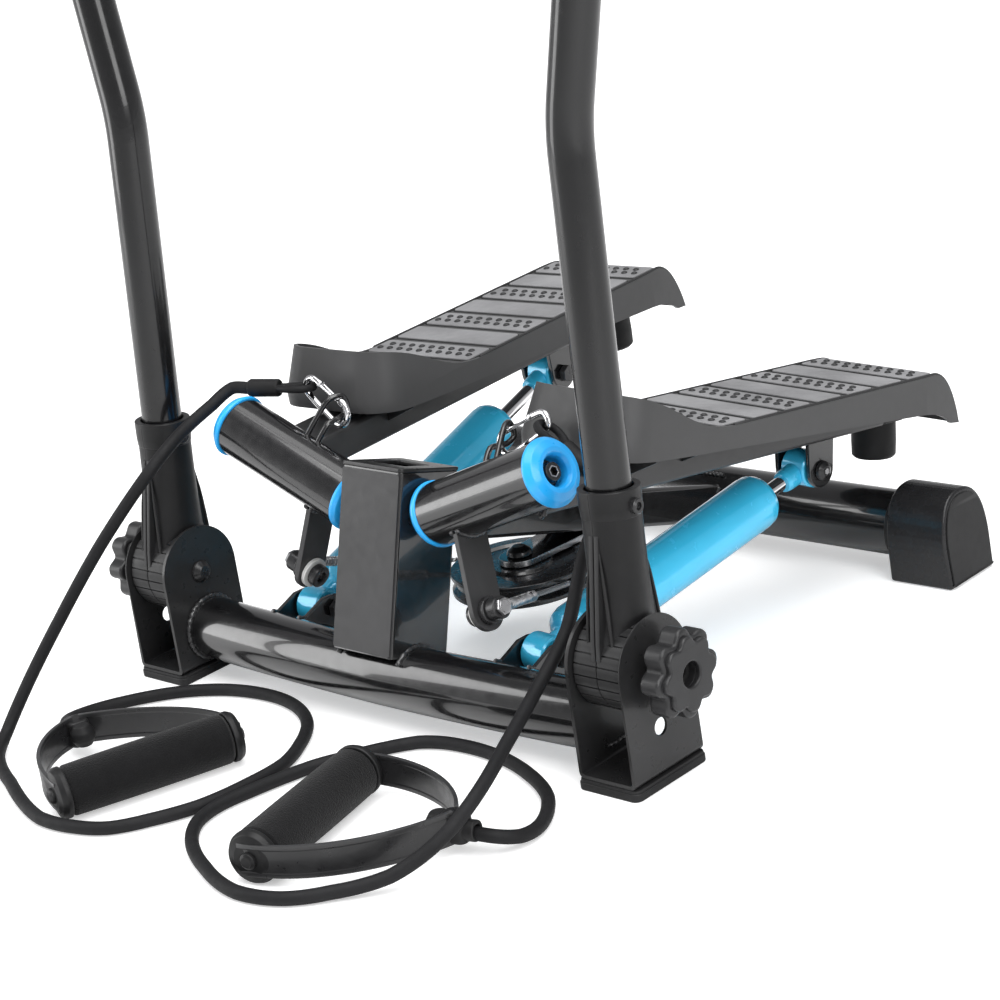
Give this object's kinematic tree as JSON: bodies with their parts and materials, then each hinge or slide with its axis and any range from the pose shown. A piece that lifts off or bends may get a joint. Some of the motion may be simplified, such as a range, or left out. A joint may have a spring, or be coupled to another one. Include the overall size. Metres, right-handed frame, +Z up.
{
  "type": "stepper",
  "caption": "Folding twist stepper with two coupled pedals on inclined pivots, hydraulic cylinders, cable pulley, resistance cords and a fold-down handlebar.",
  "frame": {"origin": "on the floor under the centre of the bounding box", "axes": "+X to the side of the lowered pedal, +Y from the console post towards the pedal heels, +Z up"},
  "size_m": [0.6946, 0.747, 1.257],
  "materials": {
    "black_paint": "gloss",
    "satin_paint": "satin",
    "black_plastic": "satin",
    "grey_plastic": "satin",
    "blue_plastic": "gloss",
    "blue_paint": "gloss",
    "chrome": "polished",
    "steel": "zinc plated",
    "dark_steel": "blackened",
    "rubber": "matte",
    "foam": "foam, matte"
  },
  "bodies": {
    "frame": {"front_cross_tube": "black_paint", "console_post": "black_paint", "post_cap": "satin_paint", "main_beam": "black_paint", "rear_cross_tube": "black_paint", "right_rear_foot": "black_plastic", "left_rear_foot": "black_plastic", "right_hinge_bracket": "satin_paint", "left_hinge_bracket": "satin_paint", "right_foot_pad": "rubber", "left_foot_pad": "rubber", "right_clamp_bolt": "steel", "left_clamp_bolt": "steel", "right_axle_bolt": "steel", "left_axle_bolt": "steel", "right_cylinder_lower_pin": "steel", "left_cylinder_lower_pin": "steel", "right_cord": "rubber", "left_cord": "rubber", "right_grip_foam": "foam", "left_grip_foam": "foam", "right_grip_strap": "black_plastic", "left_grip_strap": "black_plastic", "pulley_bolt": "dark_steel"},
    "handlebar": {"right_socket_outer": "black_plastic", "left_socket_outer": "black_plastic", "right_socket_inner": "black_plastic", "left_socket_inner": "black_plastic", "right_handlebar_pole": "black_paint", "left_handlebar_pole": "black_paint", "handlebar_top": "black_paint", "handlebar_foam": "foam"},
    "right_knob": {"right_clamp_knob": "black_plastic"},
    "left_knob": {"left_clamp_knob": "black_plastic"},
    "right_arm": {"right_arm_steel": "black_paint", "right_pivot_bush_inner": "blue_plastic", "right_pivot_bush_outer": "blue_plastic", "right_pedal": "grey_plastic", "right_pedal_bumper": "rubber", "right_cylinder_upper_pin": "steel", "right_snap_hook": "chrome", "right_cord_end": "rubber"},
    "left_arm": {"left_arm_steel": "black_paint", "left_pivot_bush_inner": "blue_plastic", "left_pivot_bush_outer": "blue_plastic", "left_pedal": "grey_plastic", "left_pedal_bumper": "rubber", "left_cylinder_upper_pin": "steel", "left_snap_hook": "chrome", "left_cord_end": "rubber"},
    "right_gate": {"right_snap_gate": "chrome"},
    "left_gate": {"left_snap_gate": "chrome"},
    "right_cylinder": {"right_cylinder_body": "blue_paint"},
    "left_cylinder": {"left_cylinder_body": "blue_paint"},
    "right_rod": {"right_cylinder_rod": "chrome"},
    "left_rod": {"left_cylinder_rod": "chrome"},
    "right_cable": {"right_cable_run": "steel"},
    "left_cable": {"left_cable_run": "steel"},
    "pulley": {"pulley": "black_plastic", "cable_wrap": "steel"}
  },
  "joints": [
    {"name": "right_pedal_swing", "type": "hinge", "parent": "frame", "child": "right_arm", "pos_m": [0.0478, -0.07536, 0.16104], "axis": [0.9323, 0, 0.3616], "range_deg": [-1.5, 11.9]},
    {"name": "left_pedal_swing", "type": "hinge", "parent": "frame", "child": "left_arm", "pos_m": [-0.0478, -0.07536, 0.16104], "axis": [0.9323, 0, -0.3616], "range_deg": [-11.95, 1.55]},
    {"name": "handlebar_fold", "type": "hinge", "parent": "frame", "child": "handlebar", "pos_m": [0, -0.10286, 0.08634], "axis": [-1, 0, 0], "range_deg": [0, 80]},
    {"name": "right_knob_turn", "type": "hinge", "parent": "frame", "child": "right_knob", "pos_m": [0.28, -0.10286, 0.08634], "axis": [1, 0, 0], "continuous": true},
    {"name": "left_knob_turn", "type": "hinge", "parent": "frame", "child": "left_knob", "pos_m": [-0.28, -0.10286, 0.08634], "axis": [-1, 0, 0], "continuous": true},
    {"name": "right_gate_swing", "type": "hinge", "parent": "right_arm", "child": "right_gate", "pos_m": [0.10862, -0.02793, 0.22707], "axis": [-0.0323, -0.9474, 0.3184], "range_deg": [0, 18], "stiffness_Nm_per_rad": 0.02, "springref_deg": -17.19},
    {"name": "left_gate_swing", "type": "hinge", "parent": "left_arm", "child": "left_gate", "pos_m": [-0.10578, -0.03579, 0.23439], "axis": [0.0309, 0.9874, -0.1555], "range_deg": [0, 18], "stiffness_Nm_per_rad": 0.02, "springref_deg": -17.19},
    {"name": "right_cylinder_tilt", "type": "hinge", "parent": "frame", "child": "right_cylinder", "pos_m": [0.122, -0.06306, 0.05604], "axis": [0.9091, 0.0082, 0.4165], "range_deg": [-1.47, 11.52]},
    {"name": "left_cylinder_tilt", "type": "hinge", "parent": "frame", "child": "left_cylinder", "pos_m": [-0.122, -0.06306, 0.05604], "axis": [0.9091, -0.0082, -0.4165], "range_deg": [-11.52, 1.47]},
    {"name": "right_rod_slide", "type": "slide", "parent": "right_cylinder", "child": "right_rod", "axis": [0.0866, 0.9829, 0.1627], "range_m": [-0.00328, 0.0257]},
    {"name": "left_rod_slide", "type": "slide", "parent": "left_cylinder", "child": "left_rod", "axis": [-0.0167, 0.9487, 0.3158], "range_m": [-0.0257, 0.00328]},
    {"name": "pulley_spin", "type": "hinge", "parent": "frame", "child": "pulley", "pos_m": [0, 0.04714, 0.06104], "axis": [0, 0, 1], "range_deg": [-1.97, 15.51]},
    {"name": "right_cable_level", "type": "hinge", "parent": "right_arm", "child": "right_cable", "pos_m": [0.11498, -0.09686, 0.10397], "axis": [0.9323, 0, 0.3616], "range_deg": [-11.92, 1.52]},
    {"name": "left_cable_level", "type": "hinge", "parent": "left_arm", "child": "left_cable", "pos_m": [-0.11592, -0.08262, 0.10155], "axis": [0.9323, 0, -0.3616], "range_deg": [-1.52, 11.92]}
  ],
  "couplings": [
    {"joint": "left_pedal_swing", "follows": "right_pedal_swing", "ratio": -1},
    {"joint": "right_cylinder_tilt", "follows": "right_pedal_swing", "ratio": 0.966},
    {"joint": "left_cylinder_tilt", "follows": "right_pedal_swing", "ratio": -0.966},
    {"joint": "right_rod_slide", "follows": "right_pedal_swing", "m_per_rad": 0.1235},
    {"joint": "left_rod_slide", "follows": "right_pedal_swing", "m_per_rad": -0.1235},
    {"joint": "pulley_spin", "follows": "right_pedal_swing", "ratio": 1.302},
    {"joint": "right_cable_level", "follows": "right_pedal_swing", "ratio": -1},
    {"joint": "left_cable_level", "follows": "right_pedal_swing", "ratio": 1}
  ]
}
